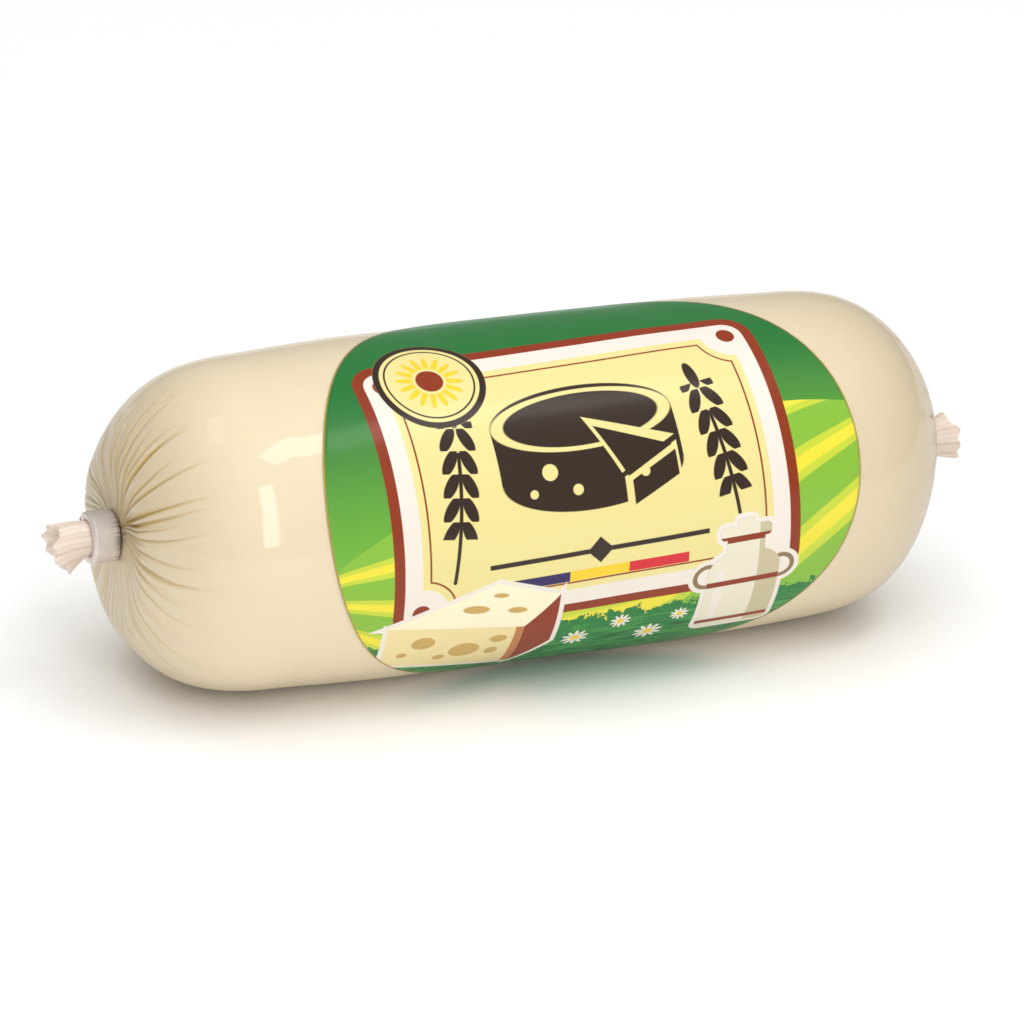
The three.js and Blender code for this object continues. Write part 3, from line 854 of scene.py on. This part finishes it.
def wedge_layers(tree, place, colours):
    """A wedge of cheese in front on the left, with a red-brown rind."""
    cut = facet(tree, place, [(-40.5, -33.0), (-14.0, -41.0), (-14.0, -27.0), (-40.5, -22.0)])
    top = facet(tree, place, [(-40.5, -22.0), (-14.0, -27.0), (-8.0, -20.0), (-20.0, -15.6)])
    rind = facet(tree, place, [(-14.0, -41.0), (-8.0, -33.0), (-8.0, -20.0), (-14.0, -27.0)])
    holes = {
        -12: [
            (-33.0, -27.5, 2.3, 1.7), (-24.5, -31.8, 3.0, 2.3), (-19.0, -33.6, 1.3, 1.2),
            (-29.0, -33.2, 1.2, 0.9), (-18.4, -29.6, 1.7, 1.1), (-36.6, -30.4, 1.0, 0.8),
        ],
        -10: [(-24.0, -20.6, 2.6, 0.9), (-16.0, -22.2, 1.9, 0.7), (-19.5, -18.2, 1.5, 0.5)],
    }
    halo = add(tree, "Math", MINUS, joined(tree, cut, top, rind), 0.9)
    layers = [(halo, colours.border)]
    layers += [(cut, colours.curd), (top, colours.curd_light), (rind, colours.russet)]
    layers.append((add(tree, "Math", MOST, cut, stroke(tree, rind, 3.0)), colours.russet_light))
    for turn, places in holes.items():
        for x, y, wide, high in places:
            layers.append((oval(tree, place, (x, y), (wide, high), turn), colours.curd_dark))
    return layers


def churn_layers(tree, place, colours):
    """A milk churn in front on the right."""
    body = block(tree, place, (CHURN_X, -29.0), (7.0, 8.0), 1.6)
    shoulder = oval(tree, place, (CHURN_X, -21.5), (7.0, 4.6))
    neck = block(tree, place, (CHURN_X, -17.5), (3.7, 3.6), 0.5)
    lid = block(tree, place, (CHURN_X, -13.6), (5.0, 1.3), 0.9)
    knob = block(tree, place, (CHURN_X, -11.8), (1.6, 0.9), 0.6)
    rings = [stroke(tree, spot(tree, place, (CHURN_X + aside, -22.0), 2.3), 0.9) for aside in (-7.2, 7.2)]
    handles = joined(tree, *rings)
    churn = joined(tree, body, shoulder, neck, lid, knob, handles)
    solid = joined(tree, body, shoulder, neck, lid, knob)
    far_side = facet(tree, place, [(30.2, -60), (60, -60), (60, 0), (30.2, 0)])
    shade = add(tree, "Math", MOST, solid, far_side)
    gleam = add(tree, "Math", MOST, solid, block(tree, place, (23.0, -28.0), (0.9, 7.0), 0.8))
    halo = add(tree, "Math", MINUS, churn, 0.9)
    layers = [(halo, colours.border), (churn, colours.tin_dark), (solid, colours.tin)]
    layers += [(shade, colours.tin_shade), (gleam, colours.border)]
    for height in (-35.0, -24.2, -14.9):
        band = block(tree, place, (CHURN_X, height), (9.0, 0.55))
        layers.append((add(tree, "Math", MOST, solid, band), colours.russet))
    return layers


def daisy_layers(tree, place, colours):
    """Daisies in the grass between the wedge and the churn."""
    layers = []
    for x, y, radius in ((-3.0, -33.5, 2.6), (5.0, -30.0, 2.0), (11.5, -35.5, 2.8), (16.5, -30.6, 1.8)):
        layers.append((flower(tree, place, (x, y), radius, 10), colours.border))
        layers.append((spot(tree, place, (x, y), radius * 0.33), colours.gold))
    return layers


def label_material(colours):
    """Polypropylene label film, printed and varnished: saturated inks under a soft gloss."""
    material, tree, _ = fresh_material("printed_label_film")
    uv = add(tree, "UVMap", {"uv_map": "print"})
    per_mm = 1 / (2 * LABEL_RADIUS)
    place = add(tree, "Mapping", INVERSE, uv, (0.5, 0.5, 0), (0, 0, PRINT_TURN), (per_mm, per_mm, 1))
    across = add(tree, "SeparateXYZ", {}, place, take="X")
    up = add(tree, "SeparateXYZ", {}, place, take="Y")
    high = add(tree, "MapRange", {"interpolation_type": "SMOOTHSTEP"}, up, -16.0, 26.0)
    ink = add(tree, "Mix", COLOURS, high, colours.label_low, colours.label_top)
    layers = meadow_layers(tree, place, across, up, colours)
    for draw in (
        plaque_layers, wheel_layers, ribbon_layers, sun_layers, wedge_layers, churn_layers, daisy_layers,
    ):
        layers += draw(tree, place, colours)
    bare_edge = add(tree, "Math", MINUS, LABEL_RADIUS - 0.25, add(tree, "VectorMath", LENGTH, place))
    layers.append((bare_edge, colours.adhesive))
    for form, layer_ink in layers:
        cover = add(tree, "MapRange", {}, form, INK_EDGE, -INK_EDGE)
        ink = add(tree, "Mix", COLOURS, cover, ink, layer_ink)
    grain = add(tree, "TexNoise", {"noise_dimensions": "2D"}, place, Scale=1 / VARNISH_GRAIN, Detail=3.0)
    bump = add(tree, "Bump", {}, Strength=0.12, Distance=0.02 * MM, Height=grain)
    shader = add(
        tree, "BsdfPrincipled", {}, ink, Roughness=0.4, Specular_IOR_Level=0.25, Normal=bump,
        Coat_Weight=0.25, Coat_Roughness=0.14,
    )
    add(tree, "OutputMaterial", {}, shader)
    return material


def stage_material(colours):
    """Matt paper backdrop, so pale that it stays behind the object."""
    material, tree, place = fresh_material("matt_backdrop_paper")
    fibre = add(tree, "TexNoise", {}, place, Scale=per_metre(10 / 9), Detail=2.0)
    tone = add(tree, "Mix", COLOURS, fibre, colours.floor, colours.floor_light)
    shader = add(tree, "BsdfPrincipled", {}, tone, Roughness=0.9, Specular_IOR_Level=0.1)
    add(tree, "OutputMaterial", {}, shader)
    return material


# ---------------------------------------------------------------- pieces

def placed(name, data):
    """An object of that data, in the scene."""
    thing = bpy.data.objects.new(name, data)
    bpy.context.scene.collection.objects.link(thing)
    return thing


def piece_of(name, mesh, material, node):
    """Makes a mesh a piece of the chub that stands for a solid of the frame."""
    piece = placed(name, mesh)
    mesh.materials.append(material)
    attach(piece, "root")
    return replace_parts(piece, node)


def closing_rows(end, reach, radii):
    """Rows that close a surface towards its pole, with no run of their own."""
    return np.array([[end.side, reach, radius, -1] for radius in radii])


def make_cheese(sizes, colours):
    neck = NECK_RADIUS - 0.6
    rows = [closing_rows(end, end.clip_reach - 0.3, [0, neck / 2, neck]) for end in ENDS]
    mesh = casing_surface("cheese", sizes.film_gap / MM, rows[0], rows[1][::-1])
    piece_of("cheese", mesh, cheese_material(colours), "casing")


def make_film(colours):
    rows = []
    for end in ENDS:
        middle = end.clip_reach + end.clip_width / 2
        rows.append(closing_rows(end, middle, [0, NECK_RADIUS / 2, NECK_RADIUS - 0.2]))
    mesh = casing_surface("casing_film", 0, rows[0], rows[1][::-1])
    film = piece_of("casing_film", mesh, film_material(colours), "casing")
    film.visible_shadow = False
    film.visible_diffuse = False


def make_tails(colours):
    material = tail_material(colours)
    for end in ENDS:
        piece_of(f"film_tail_{end.name}", tail_surface(end), material, "casing")


def make_clips(colours):
    material = clip_material(colours)
    for end in ENDS:
        piece_of(f"pressed_clip_{end.name}", clip_surface(end), material, f"clip_{end.name}")


def make_label(sizes, colours):
    bm = bmesh.new()
    line = [bm.verts.new((LABEL_RADIUS * i / LABEL_ROWS, 0, 0)) for i in range(LABEL_ROWS + 1)]
    for pair in zip(line, line[1:]):
        bm.edges.new(pair)
    spin_all(bm, (0, 0, 1), FULL_TURN, LABEL_STEPS)
    bmesh.ops.remove_doubles(bm, verts=bm.verts, dist=1e-4)
    bmesh.ops.recalc_face_normals(bm, faces=bm.faces)
    if bm.faces[0].normal.z < 0:
        bmesh.ops.reverse_faces(bm, faces=bm.faces)
    printed = bm.loops.layers.uv.new("print")
    for face in bm.faces:
        for loop in face.loops:
            loop[printed].uv = loop.vert.co.xy / (2 * LABEL_RADIUS) + Vector((0.5, 0.5))
    bmesh.ops.solidify(bm, geom=bm.faces[:], thickness=-sizes.label_thickness / MM)
    mesh = mesh_of(bm, "label_film")
    across, up, height = read_points(mesh)
    x = LABEL_CENTRE_X + across
    angle = (LABEL_CENTRE_RISE + up) / LABEL_BEND
    side = np.where(x < 0, -1, 1)
    reach = np.abs(x)
    hull = np.where(x < 0, hull_radius(LEFT, reach), hull_radius(RIGHT, reach))
    lift = LABEL_LIFT + height - height.min()
    radius = hull + unevenness(x, angle) + lift
    write_points(mesh, put(side, reach, radius, angle, FLOOR_GAP))
    piece_of("label_film", mesh, label_material(colours), "label")


# ---------------------------------------------------------------- stage

# The camera looks at a place beside the chub's middle: how far to the view's right and up.
# Its distance is in metres and its lens in millimetres.
VIEW_AZIMUTH = math.radians(-24.01)
VIEW_ELEVATION = math.radians(24.0)
VIEW_ROLL = math.radians(3.12)
VIEW_DISTANCE = 1.2
VIEW_LENS = 234.14
AIM_ACROSS = -1.54 * MM
AIM_UP = -4.425 * MM
AIM_FROM = Vector((1.5, 0, AXIS_HEIGHT)) * MM

# Softboxes: name, azimuth from the front towards +X and elevation in degrees, distance, width and
# height in metres, radiance, and whether it shows in gloss.
SOFTBOXES = [
    ("front_window", 0, 28, 1.3, 0.19, 0.95, 5.0, True),
    ("overhead_right", 42, 68, 1.3, 0.62, 0.24, 4.0, True),
    ("overhead_left", -115, 71, 1.5, 0.50, 0.30, 0.9, True),
    ("camera_left", -38, 45, 1.5, 0.40, 0.90, 1.2, False),
    ("low_fill", -30, 4, 1.5, 1.80, 0.50, 1.5, False),
    ("ceiling", 0, 86, 1.6, 2.4, 2.4, 1.4, False),
]
SKY_RADIANCE = 0.35
FLOOR_HALF_WIDTH = 3.0  # in metres


def direction(azimuth, elevation):
    """The way out to a light or camera, with the azimuth from the front (-Y) towards +X."""
    level = math.cos(elevation)
    return Vector((math.sin(azimuth) * level, -math.cos(azimuth) * level, math.sin(elevation)))


def make_camera():
    data = bpy.data.cameras.new("camera")
    data.sensor_width = 36
    data.lens = VIEW_LENS
    data.clip_start = 0.05
    data.clip_end = 20
    camera = placed("camera", data)
    back = direction(VIEW_AZIMUTH, VIEW_ELEVATION)
    upright = (-back).to_track_quat("-Z", "Y")
    turned = Quaternion(back, VIEW_ROLL) @ upright
    across = turned @ Vector((1, 0, 0))
    up = turned @ Vector((0, 1, 0))
    aim = AIM_FROM + AIM_ACROSS * across + AIM_UP * up
    camera.rotation_mode = "QUATERNION"
    camera.rotation_quaternion = turned
    camera.location = aim + back * VIEW_DISTANCE
    bpy.context.scene.camera = camera


def make_softbox(name, azimuth, elevation, distance, width, height, radiance, shows):
    data = bpy.data.lights.new(name, "AREA")
    data.shape = "RECTANGLE"
    data.size = width
    data.size_y = height
    data.energy = radiance * math.pi * width * height
    light = placed(name, data)
    way = direction(math.radians(azimuth), math.radians(elevation))
    light.location = AIM_FROM + way * distance
    light.rotation_mode = "QUATERNION"
    light.rotation_quaternion = way.to_track_quat("Z", "Y")
    light.visible_glossy = shows


def make_stage(colours):
    bm = bmesh.new()
    bmesh.ops.create_grid(bm, x_segments=8, y_segments=8, size=FLOOR_HALF_WIDTH)
    floor = placed("floor", mesh_of(bm, "floor"))
    floor.data.materials.append(stage_material(colours))
    world = bpy.data.worlds.new("studio")
    bpy.context.scene.world = world
    world.use_nodes = True
    world.node_tree.nodes.clear()
    sky = add(world.node_tree, "Background", {}, (1, 1, 1, 1), SKY_RADIANCE)
    add(world.node_tree, "OutputWorld", {}, sky)
    for softbox in SOFTBOXES:
        make_softbox(*softbox)
    make_camera()
    bpy.context.scene.view_settings.view_transform = "Standard"


# ---------------------------------------------------------------- add-on

def colour(name, description, code):
    return FloatVectorProperty(
        name=name, description=description, subtype="COLOR", size=4, min=0, max=1, default=linear(code)
    )


class ChubSizes(bpy.types.PropertyGroup):
    film_gap: FloatProperty(
        name="Film gap", description="Between the film and the cheese under it",
        default=0.12 * MM, unit="LENGTH", precision=5,
    )
    label_thickness: FloatProperty(
        name="Label thickness", description="Of the label film with its adhesive",
        default=0.12 * MM, unit="LENGTH", precision=5,
    )


class ChubColours(bpy.types.PropertyGroup):
    cheese: colour("Cheese", "The paste where it is pressed smooth", "#E3D2B0")
    cheese_light: colour("Cheese, light", "The paler mottling of the paste", "#E6D6B8")
    # painted shade of the pleated ends, round the necks
    cheese_neck_shade: colour("Cheese at the neck", "The paste among the dense pleats", "#BDAB80")
    # partly whey, partly painted shade in the creases of the pleats
    whey_and_crease_shade: colour("Whey", "What stands in the valleys of the pleats", "#B4922F")
    film_milk: colour("Gathered film", "Many layers of film on one another", "#E9DBD0")
    # painted shade between the ruffles of the tails
    film_valley_shade: colour("Gathered film, deep", "Between the ruffles of the tails", "#CFBBA6")
    aluminium: colour("Clip", "The pressed aluminium wire", "#EAE1DA")
    aluminium_worn: colour("Clip, worn", "Where the die has rubbed the wire", "#D2C8C2")
    aluminium_dark: colour("Clip, dragged", "In the die's drag marks", "#5A5048")
    label_top: colour("Label ground, top", "The deep green at the top of the label", "#1F7232")
    label_low: colour("Label ground, low", "The bright green over the hills", "#76B63A")
    field: colour("Field", "The hills between their mown strips", "#86B93A")
    strip: colour("Field strips", "The light strips of the hills", "#C4D23C")
    mown: colour("Mown strips", "The yellow middles of the strips", "#EBDD3E")
    grass: colour("Grass", "The meadow in front", "#237A38")
    grass_light: colour("Grass, light", "Lit blades of the meadow", "#3F9440")
    grass_dark: colour("Grass, dark", "The shade between the blades", "#145A2C")
    panel: colour("Plaque", "The pale yellow plaque", "#E8DA92")
    border: colour("White ink", "The plaque's border and the white of the figures", "#EBE2D6")
    russet: colour("Russet", "The red-brown outlines and the rind", "#8C3211")
    russet_light: colour("Russet, light", "Where the rind shades into the cheese", "#C07A45")
    ink: colour("Brown ink", "The near-black brown of the main figure", "#33241A")
    navy: colour("Navy", "The first stripe of the ribbon", "#33245A")
    gold: colour("Gold", "The middle stripe of the ribbon", "#F2CB2E")
    red: colour("Red", "The last stripe of the ribbon", "#D22A33")
    curd: colour("Drawn cheese", "The cut face of the drawn wedge", "#EBD9A0")
    curd_light: colour("Drawn cheese, light", "The top of the drawn wedge", "#F7EDCB")
    curd_dark: colour("Drawn cheese, dark", "The holes of the drawn wedge", "#C9A45C")
    tin: colour("Drawn churn", "The front of the drawn churn", "#E6DFC8")
    tin_shade: colour("Drawn churn, shade", "The far side of the drawn churn", "#C7BB98")
    tin_dark: colour("Drawn churn, dark", "The handles of the drawn churn", "#8A7350")
    adhesive: colour("Label edge", "The yellowed adhesive at the label's cut edge", "#B99A4E")
    floor: colour("Backdrop", "The pale paper that the chub lies on", "#F8F8F8")
    floor_light: colour("Backdrop, light", "The paper's palest fibres", "#FBFBFB")


class CHUB_OT_add_cheese(bpy.types.Operator):
    """Add the cheese that fills the casing"""
    bl_idname = "chub.add_cheese"
    bl_label = "Add Cheese"

    def execute(self, context):
        make_cheese(context.scene.chub_sizes, context.scene.chub_colours)
        return {"FINISHED"}


class CHUB_OT_add_film(bpy.types.Operator):
    """Add the clear film that is drawn over the cheese"""
    bl_idname = "chub.add_film"
    bl_label = "Add Casing Film"

    def execute(self, context):
        make_film(context.scene.chub_colours)
        return {"FINISHED"}


class CHUB_OT_add_tails(bpy.types.Operator):
    """Add the gathered ends of the film beyond the clips"""
    bl_idname = "chub.add_tails"
    bl_label = "Add Film Tails"

    def execute(self, context):
        make_tails(context.scene.chub_colours)
        return {"FINISHED"}


class CHUB_OT_add_clips(bpy.types.Operator):
    """Add the wire clips that close the two ends"""
    bl_idname = "chub.add_clips"
    bl_label = "Add Clips"

    def execute(self, context):
        make_clips(context.scene.chub_colours)
        return {"FINISHED"}


class CHUB_OT_add_label(bpy.types.Operator):
    """Add the round label that is wrapped over the front"""
    bl_idname = "chub.add_label"
    bl_label = "Add Label"

    def execute(self, context):
        make_label(context.scene.chub_sizes, context.scene.chub_colours)
        return {"FINISHED"}


class CHUB_OT_set_stage(bpy.types.Operator):
    """Set the floor, the lights and the camera"""
    bl_idname = "chub.set_stage"
    bl_label = "Set Stage"

    def execute(self, context):
        make_stage(context.scene.chub_colours)
        return {"FINISHED"}


OPERATORS = (
    CHUB_OT_add_cheese, CHUB_OT_add_film, CHUB_OT_add_tails, CHUB_OT_add_clips, CHUB_OT_add_label,
    CHUB_OT_set_stage,
)


class CHUB_PT_parts(bpy.types.Panel):
    """Lists the chub's sizes, colours and pieces"""
    bl_label = "Cheese Chub"
    bl_idname = "CHUB_PT_parts"
    bl_space_type = "VIEW_3D"
    bl_region_type = "UI"
    bl_category = "Chub"

    def draw(self, context):
        for group in (context.scene.chub_sizes, context.scene.chub_colours):
            for name in group.__annotations__:
                self.layout.prop(group, name)
        for operator in OPERATORS:
            self.layout.operator(operator.bl_idname)


CLASSES = (ChubSizes, ChubColours, *OPERATORS, CHUB_PT_parts)


def register():
    for cls in CLASSES:
        bpy.utils.register_class(cls)
    bpy.types.Scene.chub_sizes = PointerProperty(type=ChubSizes)
    bpy.types.Scene.chub_colours = PointerProperty(type=ChubColours)


def unregister():
    del bpy.types.Scene.chub_colours
    del bpy.types.Scene.chub_sizes
    for cls in reversed(CLASSES):
        bpy.utils.unregister_class(cls)


def main():
    register()
    bpy.ops.chub.add_cheese()
    bpy.ops.chub.add_film()
    bpy.ops.chub.add_tails()
    bpy.ops.chub.add_clips()
    bpy.ops.chub.add_label()
    bpy.ops.chub.set_stage()


if __name__ == "__main__":
    main()
